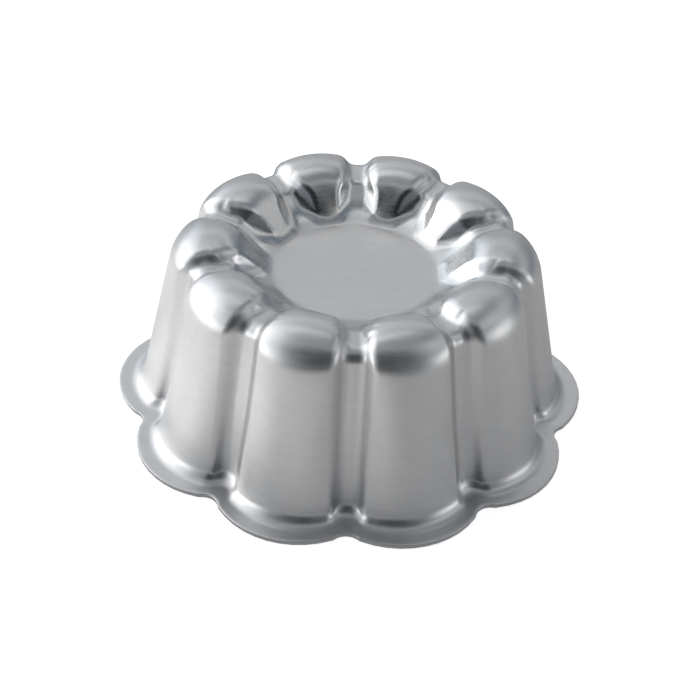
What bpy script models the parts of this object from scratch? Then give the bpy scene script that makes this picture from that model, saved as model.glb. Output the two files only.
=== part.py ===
"""Fluted cake pan, pressed from one aluminium disc and standing open side down.

The real pan is a single sheet, and it is modelled as one.  A half sector of the formed sheet is
lofted between two profiles, one over the crest of a lobe and one down the middle of a valley,
through a flute cross-section that changes from the rim to the crown.  It is mirrored in the
lobe's crest plane, spun round the axis and closed by the flat disc of the recess.  The sheet
then gets its thickness on the inner side, so that the outer skin keeps its measured size.

Every radius follows from the rim inwards and every height from the crown downwards, so that one
size can be changed without the others being worked out again.
"""
import bpy
import bmesh
import numpy as np

# Sheet and pattern
SHEET = 0.00100                 # thickness of the aluminium
LOBES = 10                      # lobes round the pan
HEIGHT = 0.04469                # table to the lobes' crowns

# Flange
RIM_DIAMETER = 0.1140           # tip to tip of two opposite lobes
NOTCH_DEPTH = 0.00494           # a lobe's tip in to the bottom of a notch
FLANGE_WIDTH = 0.00568          # a lobe's tip in to the corner of its wall
BASE_FILLET = 0.00356           # outer radius between wall and flange, the same all round

# Profile over the crest of a lobe, corner to corner from the flange in
LOBE_LEAN = 0.00960             # the wall's foot in to the shoulder
CROWN_WIDTH = 0.01236           # the shoulder in to the crown's inner corner
LOBE_SIDE_RUN = 0.00830         # the crown's inner corner in to the lobe's foot in the recess
RING_WIDTH = 0.00201            # the lobe's foot in to the flat disc
LOBE_SHOULDER_FILLET = 0.00930
CROWN_INNER_FILLET = 0.00903
LOBE_FOOT_FILLET = 0.00208

# Profile down the middle of a valley, in the same order
VALLEY_DEPTH = 0.00574          # the lobe's wall in to the valley's wall, at the flange
VALLEY_LEAN = 0.00732           # the wall's foot in to the shoulder
SADDLE_WIDTH = 0.00870          # the shoulder in to the saddle's inner corner
SADDLE_SIDE_RUN = 0.00471       # the saddle's inner corner in to its foot in the recess
VALLEY_SHOULDER_DROP = 0.00314  # the crown down to the shoulder
SADDLE_DROP = 0.00401           # the crown down to the saddle's inner corner
VALLEY_SHOULDER_FILLET = 0.00350
SADDLE_FILLET = 0.00431
VALLEY_FOOT_FILLET = 0.00050

# Recess in the middle
RECESS_DEPTH = 0.00986          # the crown down to the flat disc
DISH_RISE = 0.00105             # rise of the dished ring from the disc out to a lobe's foot

# Flute cross-section at nine places along the profiles: flange edge, start and top of the base
# fillet, middle and top of the wall, shoulder, crown, side of the recess, and its foot
SECTION_PLACES = (0.00, 1.00, 2.00, 2.50, 2.95, 3.65, 4.95, 6.26, 7.00)
FLOOR_HALF_WIDTH = (0.00005, 0.00015, 0.00032, 0.00110, 0.00106, 0.00060, 0.00053, 0.00048, 0.00020)
FLUTE_FILLET = (0.00480, 0.00494, 0.00318, 0.00217, 0.00222, 0.00281, 0.00226, 0.00321, 0.00180)
FLUTE_SIDE_SLOPE = (43.7, 46.2, 60.5, 50.5, 52.2, 46.7, 66.5, 37.9, 49.5)
LIP_RADIUS = (0.00239, 0.00207, 0.00306, 0.00356, 0.00290, 0.00355, 0.00454, 0.00313, 0.00215)
FACE_BULGE = (0.70, 0.45, 0.41, 0.43, 0.25, 0.21, 0.20, 0.00, 0.09)  # of the depth, in the lobe's curve
TIGHTEST_FILLET = 0.00030       # where the base fillet runs into a flute's corner
STEEPEST_BROW = 0.80            # slope of the face at its edge, at most, as a share of the side's
BROW_ROUNDS = 6                 # in which the face's width and its slope at the edge settle

# How much of a stretch its bends may take
BEND_SHARE = 0.96               # of a profile's straight piece, its two fillets together
RADII_SHARE = 0.88              # of a flute's rise, its fillet and its lip
WALL_SHARE = 0.85               # of half the pitch, a flute's floor, side and lip

# Facets in each piece of a profile: flange, base fillet, wall, shoulder, top, inner shoulder,
# side of the recess, foot and dished ring
PROFILE_FACETS = (1, 2, 2, 3, 1, 3, 1, 1, 1)
# Facets in each piece of the cross-section: floor, fillet, side, lip and face
SECTION_FACETS = (1, 2, 1, 3, 2)
WELD = 1e-6                     # merge distance where neighbouring sectors meet

# Places that follow from those sizes
RIM_RADIUS = RIM_DIAMETER / 2
NOTCH_RADIUS = RIM_RADIUS - NOTCH_DEPTH
LOBE_BASE_RADIUS = RIM_RADIUS - FLANGE_WIDTH
LOBE_SHOULDER_RADIUS = LOBE_BASE_RADIUS - LOBE_LEAN
CROWN_INNER_RADIUS = LOBE_SHOULDER_RADIUS - CROWN_WIDTH
LOBE_FOOT_RADIUS = CROWN_INNER_RADIUS - LOBE_SIDE_RUN
DISC_RADIUS = LOBE_FOOT_RADIUS - RING_WIDTH
VALLEY_BASE_RADIUS = LOBE_BASE_RADIUS - VALLEY_DEPTH
VALLEY_SHOULDER_RADIUS = VALLEY_BASE_RADIUS - VALLEY_LEAN
SADDLE_RADIUS = VALLEY_SHOULDER_RADIUS - SADDLE_WIDTH
VALLEY_FOOT_RADIUS = SADDLE_RADIUS - SADDLE_SIDE_RUN
VALLEY_SHOULDER_HEIGHT = HEIGHT - VALLEY_SHOULDER_DROP
SADDLE_HEIGHT = HEIGHT - SADDLE_DROP
RECESS_HEIGHT = HEIGHT - RECESS_DEPTH
HALF_PITCH = np.pi / LOBES


def rounded_path(corners, fillets, s):
    """Points along a polyline with rounded corners.

    The path is line, arc, line, arc ... line; piece k covers s from k to k + 1.  Where a straight
    piece is too short for the fillets at its two ends, both shrink together.
    """
    corners = np.asarray(corners, float)
    step = np.diff(corners, axis=0)
    length = np.linalg.norm(step, axis=1)
    way = step / length[:, None]
    turn = np.arccos(np.clip((way[1:] * way[:-1]).sum(axis=1), -1.0, 1.0))
    side = np.sign(way[:-1, 0] * way[1:, 1] - way[:-1, 1] * way[1:, 0])
    reach = np.array(fillets) * np.tan(turn / 2)
    for k in range(len(length)):
        ends = slice(max(k - 1, 0), k + 1)
        reach[ends] *= min(1.0, BEND_SHARE * length[k] / reach[ends].sum())
    s = np.asarray(s, float)
    out = np.empty(s.shape + (2,))
    piece = np.clip(s.astype(int), 0, 2 * len(turn))
    start = corners[0]
    for i in range(len(turn)):
        begin = corners[i + 1] - way[i] * reach[i]
        on_line = piece == 2 * i
        out[on_line] = start + (begin - start) * (s[on_line] - 2 * i)[:, None]
        square = side[i] * np.array([-way[i][1], way[i][0]])
        radius = reach[i] / np.tan(turn[i] / 2)
        on_arc = piece == 2 * i + 1
        angle = turn[i] * (s[on_arc] - 2 * i - 1)[:, None]
        out[on_arc] = begin + radius * (np.sin(angle) * way[i] + (1 - np.cos(angle)) * square)
        start = corners[i + 1] + way[i + 1] * reach[i]
    on_line = piece == 2 * len(turn)
    out[on_line] = start + (corners[-1] - start) * (s[on_line] - 2 * len(turn))[:, None]
    return out


def valley_profile(s):
    """Radius and height down the middle of a valley, flange edge to the recess disc."""
    corners = ((NOTCH_RADIUS, SHEET), (VALLEY_BASE_RADIUS, SHEET),
               (VALLEY_SHOULDER_RADIUS, VALLEY_SHOULDER_HEIGHT), (SADDLE_RADIUS, SADDLE_HEIGHT),
               (VALLEY_FOOT_RADIUS, RECESS_HEIGHT + 2 * DISH_RISE), (DISC_RADIUS, RECESS_HEIGHT))
    fillets = (BASE_FILLET, VALLEY_SHOULDER_FILLET, SADDLE_FILLET, VALLEY_FOOT_FILLET)
    return rounded_path(corners, fillets, s)


def lobe_profile(s):
    """Radius and height over the crest of a lobe, flange edge to the recess disc."""
    corners = ((RIM_RADIUS, SHEET), (LOBE_BASE_RADIUS, SHEET),
               (LOBE_SHOULDER_RADIUS, HEIGHT), (CROWN_INNER_RADIUS, HEIGHT),
               (LOBE_FOOT_RADIUS, RECESS_HEIGHT + DISH_RISE), (DISC_RADIUS, RECESS_HEIGHT))
    fillets = (BASE_FILLET, LOBE_SHOULDER_FILLET, CROWN_INNER_FILLET, LOBE_FOOT_FILLET)
    return rounded_path(corners, fillets, s)


def base_spread(s, valley):
    """How far the base fillet has left the valley wall's own slope, outwards."""
    lean = VALLEY_LEAN / (VALLEY_SHOULDER_HEIGHT - SHEET)
    wall_line = VALLEY_BASE_RADIUS - lean * (valley[..., 1] - SHEET)
    off_wall = np.maximum(valley[..., 0] - wall_line, 0.0)
    at_flange = valley_profile(np.ones_like(s))[..., 0] - VALLEY_BASE_RADIUS
    return np.select([s < 1, s < 2], [at_flange * s, off_wall], 0.0)


def flute_section(s, u, depth, spread, half_girth):
    """Cross-section of a flute: distance across from the valley's middle, and height of the skin.

    u runs over the valley's floor, its fillet, the side, the lip and the lobe's face: a level
    line, an arc up to the side's slope, a straight side, an arc back to the face's own slope,
    and a parabola that is level at the lobe's crest.  Spread sets the whole section out parallel
    to itself, so that the base fillet keeps its radius round every corner.  Where the flute is
    too shallow for both radii, they shrink together.

    The brow is the slope at which lip and face meet.  It follows from the face's width, which
    follows from the brow, so a few rounds settle both.
    """
    slope = np.radians(np.interp(s, SECTION_PLACES, FLUTE_SIDE_SLOPE))
    fillet = np.interp(s, SECTION_PLACES, FLUTE_FILLET)
    lip = np.interp(s, SECTION_PLACES, LIP_RADIUS) + spread
    half_floor = np.interp(s, SECTION_PLACES, FLOOR_HALF_WIDTH)
    bulge = np.interp(s, SECTION_PLACES, FACE_BULGE) * depth
    tight = np.maximum(fillet - spread, np.minimum(fillet, TIGHTEST_FILLET))
    half_floor = half_floor + (fillet - spread - tight) * np.tan(slope / 2)
    half_floor = np.maximum(half_floor, FLOOR_HALF_WIDTH[0])
    rise = depth - bulge
    brow = np.zeros_like(depth)
    for _ in range(BROW_ROUNDS):
        curved = tight * (1 - np.cos(slope)) + lip * (np.cos(brow) - np.cos(slope))
        fit = np.minimum(1.0, RADII_SHARE * rise / np.maximum(curved, WELD))
        side = (rise - fit * curved) / np.sin(slope)
        edge = (half_floor + fit * (tight * np.sin(slope) + lip * (np.sin(slope) - np.sin(brow)))
                + side * np.cos(slope))
        shrink = np.minimum(1.0, WALL_SHARE * half_girth / edge)
        face = half_girth - edge * shrink
        brow = np.minimum(np.arctan(2 * bulge / face * shrink), STEEPEST_BROW * slope)
    tight = tight * fit
    lip = lip * fit
    on_floor, on_fillet, on_side, on_lip, on_face = [np.clip(u - k, 0.0, 1.0) for k in range(5)]
    back = slope + (brow - slope) * on_lip
    across = shrink * (half_floor * on_floor + tight * np.sin(slope * on_fillet)
                       + side * np.cos(slope) * on_side + lip * (np.sin(slope) - np.sin(back)))
    up = (tight * (1 - np.cos(slope * on_fillet)) + side * np.sin(slope) * on_side
          + lip * (np.cos(back) - np.cos(slope)) + bulge * (1 - (1 - on_face) ** 2))
    return across + face * on_face, up


def outer_skin(s, u):
    """The formed sheet's outer skin over one half sector, as points (..., 3).

    The lobe's crest is at angle 0 and the valley's middle at half a pitch.  Each point lies on the
    straight line from the valley's profile to the lobe's, as high as the flute's section says.
    """
    valley = valley_profile(s)
    gap = lobe_profile(s) - valley
    depth = np.linalg.norm(gap, axis=-1)
    girth = valley[..., 0] + gap[..., 0] / 2
    across, up = flute_section(s, u, depth, base_spread(s, valley), girth * HALF_PITCH)
    # On the dished ring the columns spread out evenly towards the disc
    even = np.clip(s - 8, 0.0, 1.0)
    angle = across / girth * (1 - even) + HALF_PITCH * u / len(SECTION_FACETS) * even
    from_crest = HALF_PITCH - angle
    point = valley + gap * (up / np.maximum(depth, WELD))[..., None]
    radius = point[..., 0]
    return np.stack([radius * np.cos(from_crest), radius * np.sin(from_crest), point[..., 1]], axis=-1)


def places(facets):
    """Where each facet of each piece starts, and the end of the last one."""
    return [k + i / count for k, count in enumerate(facets) for i in range(count)] + [len(facets)]


def add_half_sector(bm):
    """A grid over one half sector of the sheet, from a valley's middle to a lobe's crest."""
    rows = places(PROFILE_FACETS)
    columns = places(SECTION_FACETS)
    bmesh.ops.create_grid(bm, x_segments=len(columns) - 1, y_segments=len(rows) - 1, size=0.5)
    row = [round((vert.co.y + 0.5) * (len(rows) - 1)) for vert in bm.verts]
    column = [round((vert.co.x + 0.5) * (len(columns) - 1)) for vert in bm.verts]
    points = outer_skin(np.take(rows, row), np.take(columns, column))
    for vert, point in zip(bm.verts, points):
        vert.co = point


def everything(bm):
    return bm.verts[:] + bm.edges[:] + bm.faces[:]


def repeat_round_axis(bm):
    """Mirror the half sector in its crest plane, then spin copies of the sector round the axis."""
    bmesh.ops.mirror(bm, geom=everything(bm), axis="Y", merge_dist=WELD)
    bmesh.ops.spin(bm, geom=everything(bm), cent=(0, 0, 0), axis=(0, 0, 1), dvec=(0, 0, 0),
                   angle=2 * HALF_PITCH * (LOBES - 1), steps=LOBES - 1, use_duplicate=True)
    bmesh.ops.remove_doubles(bm, verts=bm.verts[:], dist=WELD)


def add_recess_disc(bm):
    """Fill the ring left open in the recess with the flat disc, fanned from its centre."""
    ring = [edge for edge in bm.edges if edge.is_boundary and edge.verts[0].co.xy.length < VALLEY_FOOT_RADIUS]
    disc = bmesh.ops.edgeloop_fill(bm, edges=ring)["faces"]
    bmesh.ops.poke(bm, faces=disc)


def build_sheet():
    """The formed sheet's outer skin as a mesh, smooth but for its trimmed edge."""
    bm = bmesh.new()
    add_half_sector(bm)
    repeat_round_axis(bm)
    add_recess_disc(bm)
    bmesh.ops.recalc_face_normals(bm, faces=bm.faces[:])
    for face in bm.faces:
        face.smooth = True
    for edge in bm.edges:
        edge.smooth = not edge.is_boundary
    mesh = bpy.data.meshes.new("pan_shell")
    bm.to_mesh(mesh)
    bm.free()
    return mesh


def add_thickness(ob):
    """Thicken the sheet on its inner side."""
    sheet = ob.modifiers.new("sheet", "SOLIDIFY")
    sheet.thickness = SHEET
    sheet.offset = -1.0
    sheet.use_even_offset = True
    sheet.use_quality_normals = True


def add_material(ob):
    """Bare satin aluminium."""
    material = bpy.data.materials.new("satin_aluminium")
    material.use_nodes = True
    shader = material.node_tree.nodes["Principled BSDF"]
    shader.inputs["Base Color"].default_value = (0.80, 0.80, 0.81, 1.0)
    shader.inputs["Metallic"].default_value = 1.0
    shader.inputs["Roughness"].default_value = 0.28
    ob.data.materials.append(material)


def main():
    for ob in list(bpy.data.objects):
        bpy.data.objects.remove(ob)
    ob = bpy.data.objects.new("pan_shell", build_sheet())
    bpy.context.scene.collection.objects.link(ob)
    add_thickness(ob)
    add_material(ob)


main()
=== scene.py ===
"""Looks of a fluted cake pan: the pressed aluminium sheet as a fine mesh, in a soft white studio."""
import bpy
import numpy as np
from mathutils import Matrix, Vector


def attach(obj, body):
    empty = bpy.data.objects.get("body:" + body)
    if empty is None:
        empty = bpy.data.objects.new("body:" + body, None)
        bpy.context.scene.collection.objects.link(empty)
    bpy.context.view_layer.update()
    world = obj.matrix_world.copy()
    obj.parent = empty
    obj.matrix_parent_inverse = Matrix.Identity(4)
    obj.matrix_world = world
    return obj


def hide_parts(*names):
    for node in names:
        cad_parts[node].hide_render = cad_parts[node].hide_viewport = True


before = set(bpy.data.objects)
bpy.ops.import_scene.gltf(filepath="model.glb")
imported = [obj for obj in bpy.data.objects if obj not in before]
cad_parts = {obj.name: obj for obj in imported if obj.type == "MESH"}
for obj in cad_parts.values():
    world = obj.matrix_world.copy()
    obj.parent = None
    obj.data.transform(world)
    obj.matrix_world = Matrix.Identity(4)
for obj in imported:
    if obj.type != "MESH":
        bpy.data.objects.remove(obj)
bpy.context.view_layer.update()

# Sheet and pattern, in metres
SHEET = 0.00100                 # thickness of the aluminium
LOBES = 10
HALF_PITCH = np.pi / LOBES
HEIGHT = 0.04469                # table to the lobes' crowns
BASE_FILLET = 0.00356           # between wall and flange, the same all round

# Radii over the crest of a lobe, from the flange's edge in
RIM_RADIUS = 0.05700
LOBE_BASE = RIM_RADIUS - 0.00568
LOBE_SHOULDER = LOBE_BASE - 0.00960
CROWN_INNER = LOBE_SHOULDER - 0.01236
LOBE_FOOT = CROWN_INNER - 0.00830
DISC_RADIUS = LOBE_FOOT - 0.00201

# Radii down the middle of a valley
NOTCH_RADIUS = RIM_RADIUS - 0.00494
VALLEY_BASE = LOBE_BASE - 0.00574
VALLEY_LEAN = 0.00732
VALLEY_SHOULDER = VALLEY_BASE - VALLEY_LEAN
SADDLE = VALLEY_SHOULDER - 0.00870
VALLEY_FOOT = SADDLE - 0.00471

# Heights
VALLEY_SHOULDER_HEIGHT = HEIGHT - 0.00314
SADDLE_HEIGHT = HEIGHT - 0.00401
RECESS_HEIGHT = HEIGHT - 0.00986
DISH_RISE = 0.00105             # rise of the dished ring from the disc out to a lobe's foot

# Fillets of the two profiles after the base fillet: shoulder, inner corner and foot
LOBE_FILLETS = (0.00930, 0.00903, 0.00450)
VALLEY_FILLETS = (0.00350, 0.00431, 0.01200)

# Flute section at nine places along the profiles: flange edge, start and top of the base fillet,
# middle and top of the wall, shoulder, crown, side of the recess, and its foot
SECTION_PLACES = (0.00, 1.00, 2.00, 2.50, 2.95, 3.65, 4.95, 6.26, 7.00)
FLOOR_HALF_WIDTH = (0.00005, 0.00015, 0.00032, 0.00110, 0.00106, 0.00060, 0.00053, 0.00048, 0.00020)
FLUTE_FILLET = (0.00480, 0.00494, 0.00318, 0.00217, 0.00222, 0.00281, 0.00226, 0.00321, 0.00180)
FLUTE_SIDE_SLOPE = (43.7, 46.2, 60.5, 50.5, 52.2, 46.7, 66.5, 37.9, 49.5)
LIP_RADIUS = (0.00239, 0.00207, 0.00306, 0.00356, 0.00290, 0.00355, 0.00454, 0.00313, 0.00215)
FACE_BULGE = (0.70, 0.45, 0.41, 0.43, 0.25, 0.21, 0.20, 0.00, 0.09)
TIGHTEST_FILLET = 0.00030       # where the base fillet runs into a flute's corner
BEND_SHARE = 0.96               # most of a straight piece that the fillets at its ends take up
RADII_SHARE = 0.88              # most of a flute's depth that its two radii take up
WALL_SHARE = 0.85               # most of the half girth that floor, side and radii take up
STEEPEST_BROW = 0.80            # of the side's slope, the most that the face starts with
BROW_ROUNDS = 6
TINY = 1e-9

# Steps of the fine mesh in each piece of the profiles and of the flute section
PROFILE_STEPS = (4, 10, 14, 16, 6, 12, 5, 4, 3)
SECTION_STEPS = (3, 6, 4, 8, 5)
PROFILE_END = len(PROFILE_STEPS)
SECTION_END = len(SECTION_STEPS)
FOOT_PIECE = 7                  # the piece of the profiles that rounds the foot in the recess
RING_PIECE = 8                  # and the dished ring, on which the columns spread out evenly
EDGE_ROUND = 0.00012            # round of the trimmed edge
EDGE_STEPS = 2
EDGE_INSET = 0.00002            # keeps the smooth outline within the faceted one
DISC_SOFT = 0.94                # share of the disc's radius where its soft edge ends
DISC_MIDDLE = 0.50              # and where the fan round its middle starts
DISC_STEPS = 5

# The photograph's camera, as fitted to the pan's outline; the picture is 700 px square
IMAGE = 700
FOCAL_PX = 1475.0
CAMERA_DISTANCE = 0.36691
CAMERA_ELEVATION = np.radians(39.052)
CAMERA_AZIMUTH = np.radians(-1.000)
CAMERA_ROLL = np.radians(2.802)
CAMERA_SLIDE = (0.000091, 0.008561)     # to the right and up in the picture
SENSOR_MM = 36.0
NEAREST_SEEN = 0.01

# The metal: its finish is drawn in millimetres, and these are the skin's and the cut edge's colours
MILLIMETRES = 1000.0
METAL = (0.625, 0.624, 0.625)
CUT_METAL = (0.52, 0.52, 0.53, 1.0)

# The studio: a pale floor in a plain room, with cards that only the metal's reflections show
WHITE = (1.0, 1.0, 1.0, 1.0)
COOL = (0.93, 1.0, 1.07, 1.0)
DUSK = (0.75, 1.0, 1.25, 1.0)
PAPER = (0.45, 0.45, 0.45, 1.0)
PAPER_SEEN = 0.85               # the floor's own white for the camera
PAPER_MIRRORED = 0.19           # and in reflections
ROOM = 0.18                     # the room round the pan; the camera sees it white
FLOOR_RADIUS = 3.0
FLOOR_CORNERS = 96
FLOOR_GAP = 0.0001

# Cards on a dome round the pan: name, azimuth, elevation, half width and half height in degrees,
# colour and strength.  The bright ones are soft boxes, and the flags keep light off.
CARDS = (
    ("front_left_flag", 228, 14, 17, 26, COOL, 0.3),
    ("front_flag", 268, 14, 28, 26, COOL, 0.0),
    ("front_right_flag", 312, 14, 20, 26, COOL, 0.2),
    ("front_high_flag", 270, 50, 50, 17, COOL, 0.0),
    ("front_high_box", 270, 72, 46, 8, WHITE, 0.6),
    ("top_flag", 270, 84, 24, 16, COOL, 0.25),
    ("left_low_box", 190, 8, 28, 14, WHITE, 3.3),
    ("left_horizon_box", 180, 2, 40, 6, WHITE, 5.0),
    ("left_box", 160, 20, 26, 15, WHITE, 3.7),
    ("left_high_box", 162, 46, 24, 15, WHITE, 2.0),
    ("left_front_box", 200, 34, 14, 12, COOL, 1.45),
    ("back_left_box", 125, 30, 16, 20, COOL, 1.4),
    ("back_low_flag", 85, 10, 30, 12, WHITE, 0.6),
    ("back_box", 85, 38, 34, 9, WHITE, 1.25),
    ("back_upper_flag", 85, 52, 30, 9, WHITE, 0.0),
    ("back_high_box", 100, 66, 30, 12, WHITE, 1.4),
    ("right_low_box", 350, 10, 24, 13, WHITE, 2.1),
    ("right_flag", 25, 32, 26, 14, WHITE, 0.7),
    ("right_high_box", 345, 46, 22, 13, WHITE, 1.0),
)
# Cards lying on the floor: name, middle, half sizes, colour and strength
FLOOR_CARDS = (
    ("left_near_floor", -0.075, -0.03, 0.025, 0.06, WHITE, 1.4),
    ("left_floor", -0.14, 0.00, 0.10, 0.14, WHITE, 1.15),
    ("left_far_floor_flag", -0.36, 0.10, 0.16, 0.30, WHITE, 0.0),
    ("front_left_floor", -0.08, -0.16, 0.12, 0.10, WHITE, 0.9),
    ("front_right_floor", 0.10, -0.16, 0.10, 0.10, WHITE, 0.55),
    ("right_floor", 0.16, 0.00, 0.10, 0.14, WHITE, 0.45),
    ("back_floor_flag", 0.00, 0.17, 0.14, 0.10, WHITE, 0.0),
)
DOME_RADIUS = 1.6
CARD_GAP = 0.02                 # between one card's dome and the next
CARD_STEPS = 17
CARD_EDGE = 0.5                 # share of a card's half size over which it fades in


def rounded_path(corners, fillets, s):
    """Line, arc, line, arc ... line through the corners; piece k covers s from k to k + 1.

    Where a straight piece is too short for the fillets at its ends, both shrink together.
    """
    corners = np.asarray(corners, float)
    step = np.diff(corners, axis=0)
    length = np.linalg.norm(step, axis=1)
    way = step / length[:, None]
    turn = np.arccos(np.clip((way[1:] * way[:-1]).sum(axis=1), -1.0, 1.0))
    side = np.sign(way[:-1, 0] * way[1:, 1] - way[:-1, 1] * way[1:, 0])
    reach = np.array(fillets) * np.tan(turn / 2)
    for k in range(len(length)):
        ends = slice(max(k - 1, 0), k + 1)
        reach[ends] *= min(1.0, BEND_SHARE * length[k] / reach[ends].sum())
    s = np.asarray(s, float)
    out = np.empty(s.shape + (2,))
    piece = np.clip(s.astype(int), 0, 2 * len(turn))
    start = corners[0]
    for i in range(len(turn)):
        begin = corners[i + 1] - way[i] * reach[i]
        on_line = piece == 2 * i
        out[on_line] = start + (begin - start) * (s[on_line] - 2 * i)[:, None]
        square = side[i] * np.array([-way[i][1], way[i][0]])
        radius = reach[i] / np.tan(turn[i] / 2)
        on_arc = piece == 2 * i + 1
        angle = turn[i] * (s[on_arc] - 2 * i - 1)[:, None]
        out[on_arc] = begin + radius * (np.sin(angle) * way[i] + (1 - np.cos(angle)) * square)
        start = corners[i + 1] + way[i + 1] * reach[i]
    on_line = piece == 2 * len(turn)
    out[on_line] = start + (corners[-1] - start) * (s[on_line] - 2 * len(turn))[:, None]
    return out


def valley_profile(s):
    """Radius and height down the middle of a valley, flange edge to the recess disc."""
    corners = ((NOTCH_RADIUS, SHEET), (VALLEY_BASE, SHEET), (VALLEY_SHOULDER, VALLEY_SHOULDER_HEIGHT),
               (SADDLE, SADDLE_HEIGHT), (VALLEY_FOOT, RECESS_HEIGHT + 2 * DISH_RISE),
               (DISC_RADIUS, RECESS_HEIGHT))
    return rounded_path(corners, (BASE_FILLET,) + VALLEY_FILLETS, s)


def lobe_profile(s):
    """Radius and height over the crest of a lobe, flange edge to the recess disc."""
    corners = ((RIM_RADIUS, SHEET), (LOBE_BASE, SHEET), (LOBE_SHOULDER, HEIGHT),
               (CROWN_INNER, HEIGHT), (LOBE_FOOT, RECESS_HEIGHT + DISH_RISE),
               (DISC_RADIUS, RECESS_HEIGHT))
    return rounded_path(corners, (BASE_FILLET,) + LOBE_FILLETS, s)


def base_spread(s, valley):
    """How far the base fillet has left the valley wall's own slope, outwards."""
    lean = VALLEY_LEAN / (VALLEY_SHOULDER_HEIGHT - SHEET)
    wall_line = VALLEY_BASE - lean * (valley[..., 1] - SHEET)
    off_wall = np.maximum(valley[..., 0] - wall_line, 0.0)
    at_flange = valley_profile(np.ones_like(s))[..., 0] - VALLEY_BASE
    return np.select([s < 1, s < 2], [at_flange * s, off_wall], 0.0)


def flute_section(s, u, depth, spread, half_girth):
    """Distance across from the valley's middle, and height, over a flute's cross-section.

    u runs over the valley's floor, its fillet, the side, the lip and the lobe's face: a level
    line, an arc up to the side's slope, a straight side, an arc back to the face's own slope,
    and a parabola that is level at the lobe's crest.  The brow is the slope at which lip and
    face meet; it follows from the face's width, which follows from the brow, so a few rounds
    settle both.
    """
    slope = np.radians(np.interp(s, SECTION_PLACES, FLUTE_SIDE_SLOPE))
    fillet = np.interp(s, SECTION_PLACES, FLUTE_FILLET)
    lip = np.interp(s, SECTION_PLACES, LIP_RADIUS) + spread
    half_floor = np.interp(s, SECTION_PLACES, FLOOR_HALF_WIDTH)
    bulge = np.interp(s, SECTION_PLACES, FACE_BULGE) * depth
    tight = np.maximum(fillet - spread, np.minimum(fillet, TIGHTEST_FILLET))
    half_floor = half_floor + (fillet - spread - tight) * np.tan(slope / 2)
    half_floor = np.maximum(half_floor, FLOOR_HALF_WIDTH[0])
    rise = depth - bulge
    brow = np.zeros_like(depth)
    for _ in range(BROW_ROUNDS):
        curved = tight * (1 - np.cos(slope)) + lip * (np.cos(brow) - np.cos(slope))
        fit = np.minimum(1.0, RADII_SHARE * rise / np.maximum(curved, TINY))
        side = (rise - fit * curved) / np.sin(slope)
        edge = (half_floor + fit * (tight * np.sin(slope) + lip * (np.sin(slope) - np.sin(brow)))
                + side * np.cos(slope))
        shrink = np.minimum(1.0, WALL_SHARE * half_girth / edge)
        face = half_girth - edge * shrink
        brow = np.minimum(np.arctan(2 * bulge / face * shrink), STEEPEST_BROW * slope)
    tight = tight * fit
    lip = lip * fit
    on_floor, on_fillet, on_side, on_lip, on_face = [np.clip(u - k, 0.0, 1.0) for k in range(SECTION_END)]
    back = slope + (brow - slope) * on_lip
    across = shrink * (half_floor * on_floor + tight * np.sin(slope * on_fillet)
                       + side * np.cos(slope) * on_side + lip * (np.sin(slope) - np.sin(back)))
    up = (tight * (1 - np.cos(slope * on_fillet)) + side * np.sin(slope) * on_side
          + lip * (np.cos(back) - np.cos(slope)) + bulge * (1 - (1 - on_face) ** 2))
    return across + face * on_face, up


def outer_skin(s, u):
    """The sheet's outer skin over one half sector, as points (..., 3).

    Each point lies on the straight line from the valley's profile to the lobe's, as high as the
    flute's section says, and turned from the valley by the section's distance over the girth.
    """
    valley = valley_profile(s)
    gap = lobe_profile(s) - valley
    depth = np.linalg.norm(gap, axis=-1)
    girth = valley[..., 0] + gap[..., 0] / 2
    across, up = flute_section(s, u, depth, base_spread(s, valley), girth * HALF_PITCH)
    even = np.clip(s - RING_PIECE, 0.0, 1.0)
    angle = across / girth * (1 - even) + HALF_PITCH * u / SECTION_END * even
    from_crest = HALF_PITCH - angle
    point = valley + gap * (up / np.maximum(depth, TINY))[..., None]
    radius = point[..., 0]
    return np.stack([radius * np.cos(from_crest), radius * np.sin(from_crest), point[..., 1]], axis=-1)


def skin_normal(s, u):
    """Unit normal of the outer skin, pointing out of the metal, by central differences."""
    step = 0.01
    s = np.clip(s, 2 * step, PROFILE_END - 2 * step)
    s = np.where(s == FOOT_PIECE, s - 2 * step, np.where(s == RING_PIECE, s + 2 * step, s))
    u = np.clip(u, 2 * step, SECTION_END - 2 * step)
    along = outer_skin(s + step, u) - outer_skin(s - step, u)
    over = outer_skin(s, u + step) - outer_skin(s, u - step)
    normal = np.cross(along, over)
    return normal / np.linalg.norm(normal, axis=-1)[..., None]


def steps(counts):
    """Where each step of each piece starts, and the end of the last one."""
    return np.array([k + i / n for k, n in enumerate(counts) for i in range(n)] + [len(counts)])


def half_sector(depth):
    """A grid of points over one half sector, set in from the outer skin along its normals."""
    s, u = np.meshgrid(steps(PROFILE_STEPS), steps(SECTION_STEPS), indexing="ij")
    normal = skin_normal(s, u)
    # Round the foot in the recess the normals turn evenly from the side's to the dished ring's
    turned = (s - FOOT_PIECE)[..., None]
    side, ring = [skin_normal(np.full_like(s, end), u) for end in (FOOT_PIECE, RING_PIECE)]
    normal = np.where(np.abs(turned - 0.5) <= 0.5, side + turned * (ring - side), normal)
    # The normals have no sideways part in the planes of symmetry, and flange and disc are level
    middle = np.array([-np.sin(HALF_PITCH), np.cos(HALF_PITCH), 0.0])
    normal[:, 0] -= (normal[:, 0] @ middle)[:, None] * middle
    normal[:, -1, 1] = 0.0
    normal[s <= 1.0] = (0.0, 0.0, 1.0)
    normal[-1] = (0.0, 0.0, 1.0)
    normal /= np.linalg.norm(normal, axis=-1)[..., None]
    return outer_skin(s, u) - depth * normal


def whole_sector(half):
    """The half sector's columns and those of its mirror image, from one valley to the next."""
    return np.concatenate([half, half[:, -2:0:-1]], axis=1)


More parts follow.
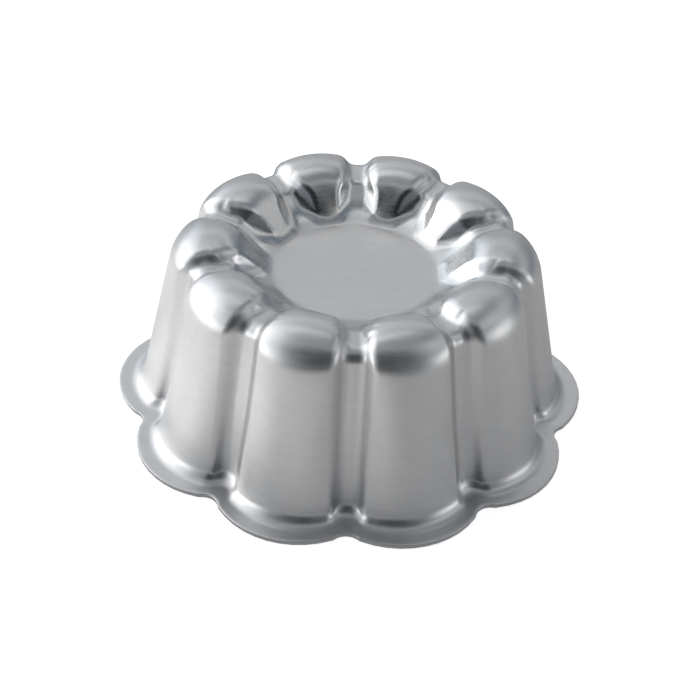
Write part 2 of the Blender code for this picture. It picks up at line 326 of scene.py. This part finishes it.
def all_round(half):
    """The half sector and its mirror image, turned round the axis."""
    mirrored = half * (1.0, -1.0, 1.0)
    sector = np.concatenate([half, mirrored[:, -2:0:-1]], axis=1)
    turned = []
    for k in range(LOBES):
        angle = -2 * HALF_PITCH * k
        turn = np.array([[np.cos(angle), -np.sin(angle), 0.0],
                         [np.sin(angle), np.cos(angle), 0.0],
                         [0.0, 0.0, 1.0]])
        turned.append(sector @ turn.T)
    return np.concatenate(turned, axis=1)


def ring_quads(rows, columns):
    """Quads of a grid whose columns close round the axis."""
    i, j = np.meshgrid(np.arange(rows - 1), np.arange(columns), indexing="ij")
    k = (j + 1) % columns
    quads = np.stack([i * columns + j, i * columns + k, (i + 1) * columns + k, (i + 1) * columns + j], -1)
    return quads.reshape(-1, 4)


def square_to_outline(ring, inset, height):
    """The flange's outline moved in by inset, square to itself, at one height."""
    tangent = np.roll(ring, -1, axis=0) - np.roll(ring, 1, axis=0)
    outward = np.stack([-tangent[:, 1], tangent[:, 0]], axis=-1)
    outward *= np.sign((outward * ring[:, :2]).sum(axis=1))[:, None]
    outward /= np.linalg.norm(outward, axis=1)[:, None]
    return np.column_stack([ring[:, :2] - inset * outward, np.full(len(ring), height)])


def trimmed_edge(ring):
    """Rows down the cut face of the flange: a quarter round, the cut face, a quarter round."""
    turn = np.linspace(0.0, np.pi / 2, EDGE_STEPS + 1)
    upper = [(EDGE_ROUND * (1 - np.sin(a)), SHEET - EDGE_ROUND * (1 - np.cos(a))) for a in turn]
    lower = [(EDGE_ROUND * (1 - np.cos(a)), EDGE_ROUND * (1 - np.sin(a))) for a in turn]
    return np.stack([square_to_outline(ring, EDGE_INSET + inset, height)
                     for inset, height in upper + lower])


def onto_disc(skin):
    """The skin carried on into the disc; a parabola rounds the corner where they meet."""
    before, corner = skin[-2:]
    after = corner * (DISC_SOFT, DISC_SOFT, 1.0)
    t = np.linspace(0.0, 1.0, DISC_STEPS + 1)[1:, None, None]
    soft = (1 - t) ** 2 * before + 2 * t * (1 - t) * corner + t ** 2 * after
    return np.concatenate([skin[:-1], soft, corner[None] * (DISC_MIDDLE, DISC_MIDDLE, 1.0)])


def set_reading(mesh, name, values):
    """A number at each vertex, for the material to read."""
    reading = mesh.attributes.new(name, "FLOAT", "POINT")
    reading.data.foreach_set("value", np.asarray(values, np.float32).ravel())


def pan_mesh():
    """Outer skin, trimmed edge, inner skin and the two faces of the disc as one closed mesh.

    The readings "along" and "over" hold s and u, so that the finish follows the pressed form.
    """
    outer = onto_disc(all_round(half_sector(0.0)))
    inner = onto_disc(all_round(half_sector(SHEET)))
    edge = trimmed_edge(outer[0])
    sheet = np.concatenate([outer[:0:-1], edge, inner[1:]])
    rows, columns = sheet.shape[:2]
    s, u = np.meshgrid(steps(PROFILE_STEPS), steps(SECTION_STEPS), indexing="ij")
    along, over = [np.tile(whole_sector(reading), LOBES) for reading in (s, u)]
    along, over = [np.concatenate([reading, np.repeat(reading[-1:], DISC_STEPS, axis=0)])
                   for reading in (along, over)]
    along = np.concatenate([along[:0:-1], np.zeros((len(edge), columns)), along[1:]])
    over = np.concatenate([over[:0:-1], np.repeat(over[:1], len(edge), axis=0), over[1:]])
    disc = [[0.0, 0.0, RECESS_HEIGHT], [0.0, 0.0, RECESS_HEIGHT - SHEET]]
    points = np.vstack([sheet.reshape(-1, 3), disc])
    j = np.arange(columns)
    k = (j + 1) % columns
    first, last = rows * columns, (rows - 1) * columns
    faces = ring_quads(rows, columns).tolist()
    faces += np.stack([np.full(columns, first), k, j], -1).tolist()
    faces += np.stack([np.full(columns, first + 1), last + j, last + k], -1).tolist()
    mesh = bpy.data.meshes.new("pan_shell_fine")
    mesh.from_pydata(points.tolist(), [], faces)
    mesh.shade_smooth()
    set_reading(mesh, "along", np.append(along, [PROFILE_END, PROFILE_END]))
    set_reading(mesh, "over", np.append(over, [0.0, 0.0]))
    return mesh


def make_pan():
    """The fine sheet, which stands for the solid one and rides with it."""
    pan = bpy.data.objects.new("pan_shell_fine", pan_mesh())
    bpy.context.scene.collection.objects.link(pan)
    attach(pan, "root")
    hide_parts("pan_shell")
    return pan


class Wire:
    """A shader socket that takes part in Python sums; each sum adds its Math node."""

    def __init__(self, tree, socket=None):
        self.tree = tree
        self.socket = socket

    def node(self, kind, settings=None, inputs=None, output=0):
        """Any other node: its settings are set first, then its sockets' values or links."""
        made = self.tree.nodes.new("ShaderNode" + kind)
        for name, value in (settings or {}).items():
            setattr(made, name, value)
        for name, value in (inputs or {}).items():
            socket = pick(made.inputs, name)
            if isinstance(value, Wire):
                self.tree.links.new(value.socket, socket)
            else:
                socket.default_value = value
        return Wire(self.tree, None if output is None else pick(made.outputs, output))

    def sum(self, operation, first, second=0.0):
        """One Math node; its two sides are wires or numbers."""
        return self.node("Math", {"operation": operation}, {0: first, 1: second})

    def __add__(self, other):
        return self.sum("ADD", self, other)

    def __sub__(self, other):
        return self.sum("SUBTRACT", self, other)

    def __rsub__(self, other):
        return self.sum("SUBTRACT", other, self)

    def __mul__(self, other):
        return self.sum("MULTIPLY", self, other)

    def __truediv__(self, other):
        return self.sum("DIVIDE", self, other)

    def __pow__(self, other):
        return self.sum("POWER", self, other)

    def most(self, other):
        """The greater of the two."""
        return self.sum("MAXIMUM", self, other)

    __radd__ = __add__
    __rmul__ = __mul__

    def from_to(self, low, high):
        """0 below low, 1 above high and a smooth rise between; the other way round if high < low."""
        ends = {"Value": self, "From Min": min(low, high), "From Max": max(low, high)}
        ends["To Min"], ends["To Max"] = (0.0, 1.0) if low < high else (1.0, 0.0)
        return self.node("MapRange", {"interpolation_type": "SMOOTHSTEP"}, ends)


def pick(sockets, name):
    """A socket by its place, or by its identifier or name."""
    if isinstance(name, int):
        return sockets[name]
    return next(socket for socket in sockets if name in (socket.identifier, socket.name))


def vector(start, x, y, z):
    """Three sums or numbers as one vector."""
    return start.node("CombineXYZ", inputs={0: x, 1: y, 2: z})


def noise(start, where, scale=1.0, detail=2.0):
    """Soft noise from about 0 to 1 at the place where; a place stretched one way makes streaks."""
    return start.node("TexNoise", inputs={"Vector": where, "Scale": scale, "Detail": detail})


def new_material(name):
    """An empty material, and the wire that its nodes start from."""
    material = bpy.data.materials.new(name)
    material.use_nodes = True
    material.node_tree.nodes.clear()
    return material, Wire(material.node_tree)


def set_surface(start, shader):
    """Links a shader to the material's output."""
    start.node("OutputMaterial", inputs={"Surface": shader}, output=None)


def satin_aluminium():
    """Bare drawn aluminium: rolled grain on the flats, hoop lines and draw marks on the walls.

    All lengths in it are in millimetres.  The height that goes to the bump is a sum of streaks
    along the sheet's grain, waviness left by the press, and a few scratches.
    """
    material, start = new_material("satin_aluminium")
    place = start.node("TexCoord", output="Object")
    place = start.node("VectorMath", {"operation": "SCALE"}, {"Vector": place, "Scale": MILLIMETRES})
    x, y, z = [start.node("SeparateXYZ", inputs={0: place}, output=axis) for axis in range(3)]
    radius = ((x * x + y * y) ** 0.5).most(1.0)
    along = start.node("Attribute", {"attribute_name": "along"}, output="Fac")
    over = start.node("Attribute", {"attribute_name": "over"}, output="Fac")

    # Regions, by the place along the profiles and over the flute section
    on_wall = along.from_to(1.4, 2.2) * along.from_to(4.2, 3.4)
    in_valley = over.from_to(2.4, 1.2) * on_wall
    at_brow = over.from_to(2.6, 3.2) * over.from_to(4.4, 3.6)
    burnished = along.from_to(5.0, 6.2) * along.from_to(8.6, 8.0)

    # Streaks: long one way and fine across it
    grain = noise(start, vector(start, x * 0.09, y * 2.6, z * 2.6), detail=4.0)
    broad_grain = noise(start, vector(start, x * 0.03, y * 0.7, z * 0.7), detail=2.0)
    hoop = noise(start, vector(start, x / radius * 5.0, y / radius * 5.0, z * 2.8), detail=4.0)
    draw = noise(start, vector(start, x / radius * 110.0, y / radius * 110.0, z * 0.05), detail=3.0)
    streaks = hoop * on_wall * (1 - in_valley) + grain * (1 - on_wall) + draw * in_valley

    # Waviness and blotches from the press and from handling
    wave = noise(start, place, scale=0.16, detail=2.0)
    blotch = noise(start, place, scale=0.35, detail=4.0)

    # Scratches: the crests of very long thin noise, where a coarse one lets them be
    slant = noise(start, vector(start, x * 0.10 + z * 0.02, y * 5.0, z * 5.0 - x * 0.6), detail=1.0)
    cross = noise(start, vector(start, x * 4.0 + y * 1.5, y * 0.12, z * 0.14 + x * 0.9), detail=1.0)
    scratch = (slant.from_to(0.735, 0.765) + cross.from_to(0.745, 0.775)) * blotch.from_to(0.50, 0.62)

    height = streaks * 0.0022 + wave * 0.030 + blotch * 0.0030 - scratch * 0.004
    normal = start.node("Bump", inputs={"Height": height, "Strength": 1.0, "Distance": 0.001})

    roughness = 0.40 - burnished * 0.13 - at_brow * 0.02 + scratch * 0.06
    roughness = roughness + (streaks - 0.5) * 0.10 + (blotch - 0.5) * 0.08
    trimmed = along.from_to(0.03, 0.0)
    shade = 1.0 + (streaks - 0.5) * 0.12 + (broad_grain - 0.5) * 0.10 + (blotch - 0.5) * 0.08
    shade = shade - scratch * 0.10
    tone = start.node("VectorMath", {"operation": "SCALE"}, {"Vector": METAL, "Scale": shade})
    colour = start.node("Mix", {"data_type": "RGBA"},
                        {"Factor_Float": trimmed, "A_Color": tone, "B_Color": CUT_METAL}, "Result_Color")
    metal = start.node("BsdfPrincipled", inputs={
        "Base Color": colour, "Metallic": 1.0, "Roughness": roughness, "Normal": normal})
    set_surface(start, metal)
    return material


def white_paper():
    """The floor: white for the camera, pale in reflections, and shaded by the pan in both."""
    material, start = new_material("white_paper")
    camera = start.node("LightPath", output="Is Camera Ray")
    glossy = start.node("LightPath", output="Is Glossy Ray")
    through = start.node("LightPath", output="Is Transmission Ray")
    strength = camera * PAPER_SEEN + glossy.most(through) * PAPER_MIRRORED
    glow = start.node("Emission", inputs={"Color": WHITE, "Strength": strength})
    paper = start.node("BsdfDiffuse", inputs={"Color": PAPER})
    set_surface(start, start.node("AddShader", inputs={0: glow, 1: paper}))
    return material


def card_material(name, colour, strength):
    """A card's cloth, which fades out towards its edges."""
    material, start = new_material(name)
    fade = start.node("Attribute", {"attribute_name": "fade"}, output="Fac")
    clear = start.node("BsdfTransparent")
    cloth = start.node("Emission", inputs={"Color": colour, "Strength": strength})
    set_surface(start, start.node("MixShader", inputs={0: fade, 1: clear, 2: cloth}))
    return material


def soft_edge(place):
    """1 in a card's middle, falling smoothly to 0 at its edge, where place is -1 or 1."""
    rise = np.clip((1 - np.abs(place)) / CARD_EDGE, 0.0, 1.0)
    return rise * rise * (3 - 2 * rise)


def add_card(name, place, colour, strength):
    """A card out of the camera's sight; place puts the grid of a square from -1 to 1 in the room."""
    across, up = np.meshgrid(np.linspace(-1, 1, CARD_STEPS), np.linspace(-1, 1, CARD_STEPS))
    i, j = np.meshgrid(np.arange(CARD_STEPS - 1), np.arange(CARD_STEPS - 1), indexing="ij")
    corner = (i * CARD_STEPS + j).ravel()
    faces = np.stack([corner, corner + 1, corner + CARD_STEPS + 1, corner + CARD_STEPS], axis=-1)
    mesh = bpy.data.meshes.new(name)
    mesh.from_pydata(place(across[..., None], up[..., None]).reshape(-1, 3).tolist(), [], faces.tolist())
    set_reading(mesh, "fade", soft_edge(across) * soft_edge(up))
    mesh.materials.append(card_material(name, colour, strength))
    card = bpy.data.objects.new(name, mesh)
    card.visible_camera = False
    bpy.context.scene.collection.objects.link(card)
    return card


def dome_card(radius, name, azimuth, elevation, half_width, half_height, colour, strength):
    """A card facing the pan: a flat grid square to its direction, pushed onto a dome."""
    a, e = np.radians((azimuth, elevation))
    wide, high = np.tan(np.radians((half_width, half_height)))
    toward = np.array([np.cos(e) * np.cos(a), np.cos(e) * np.sin(a), np.sin(e)])
    level = np.array([-np.sin(a), np.cos(a), 0.0])

    def place(across, up):
        flat = toward + across * wide * level + up * high * np.cross(toward, level)
        return radius * flat / np.linalg.norm(flat, axis=-1)[..., None]

    add_card(name, place, colour, strength)


def floor_card(name, x, y, half_width, half_depth, colour, strength):
    """A card lying flat on the floor, which takes no light from it."""
    middle = np.array([x, y, -FLOOR_GAP / 2])
    card = add_card(name, lambda across, up: middle + np.concatenate(
        [across * half_width, up * half_depth, 0 * up], axis=-1), colour, strength)
    card.visible_diffuse = False
    card.visible_shadow = False


def add_floor():
    """A wide round sheet of paper, a hair under the pan."""
    mesh = bpy.data.meshes.new("floor")
    turn = np.linspace(0.0, 2 * np.pi, FLOOR_CORNERS, endpoint=False)
    ring = np.stack([FLOOR_RADIUS * np.cos(turn), FLOOR_RADIUS * np.sin(turn), 0 * turn - FLOOR_GAP], -1)
    mesh.from_pydata(ring.tolist(), [], [list(range(FLOOR_CORNERS))])
    mesh.materials.append(white_paper())
    floor = bpy.data.objects.new("floor", mesh)
    bpy.context.scene.collection.objects.link(floor)


def add_world():
    """A plain room, white for the camera, and dimmer and cooler for the pan."""
    world = bpy.data.worlds.new("studio")
    world.use_nodes = True
    world.node_tree.nodes.clear()
    start = Wire(world.node_tree)
    camera = start.node("LightPath", output="Is Camera Ray")
    colour = start.node("Mix", {"data_type": "RGBA"},
                        {"Factor_Float": camera, "A_Color": DUSK, "B_Color": WHITE}, "Result_Color")
    room = start.node("Background", inputs={"Color": colour, "Strength": ROOM + camera * (1.0 - ROOM)})
    start.node("OutputWorld", inputs={"Surface": room}, output=None)
    bpy.context.scene.world = world


def add_camera():
    """The photograph's camera: along the fitted direction, rolled, and slid in its own plane."""
    e, a, roll = CAMERA_ELEVATION, CAMERA_AZIMUTH, CAMERA_ROLL
    back = Vector((np.sin(a) * np.cos(e), -np.cos(a) * np.cos(e), np.sin(e)))
    level = Vector((np.cos(a), np.sin(a), 0.0))
    upright = back.cross(level)
    right = level * np.cos(roll) + upright * np.sin(roll)
    up = upright * np.cos(roll) - level * np.sin(roll)
    camera = bpy.data.cameras.new("camera")
    camera.sensor_width = SENSOR_MM
    camera.lens = FOCAL_PX * SENSOR_MM / IMAGE
    camera.clip_start = NEAREST_SEEN
    ob = bpy.data.objects.new("camera", camera)
    turn = Matrix((right, up, back)).transposed().to_4x4()
    place = back * CAMERA_DISTANCE + right * CAMERA_SLIDE[0] + up * CAMERA_SLIDE[1]
    ob.matrix_world = Matrix.Translation(place) @ turn
    bpy.context.scene.collection.objects.link(ob)
    bpy.context.scene.camera = ob


def main():
    """The pan with its finish, then the studio and the camera."""
    pan = make_pan()
    pan.data.materials.append(satin_aluminium())
    add_floor()
    add_world()
    for place, card in enumerate(CARDS):
        dome_card(DOME_RADIUS + CARD_GAP * place, *card)
    for card in FLOOR_CARDS:
        floor_card(*card)
    add_camera()
    bpy.context.scene.view_settings.view_transform = "Standard"


main()
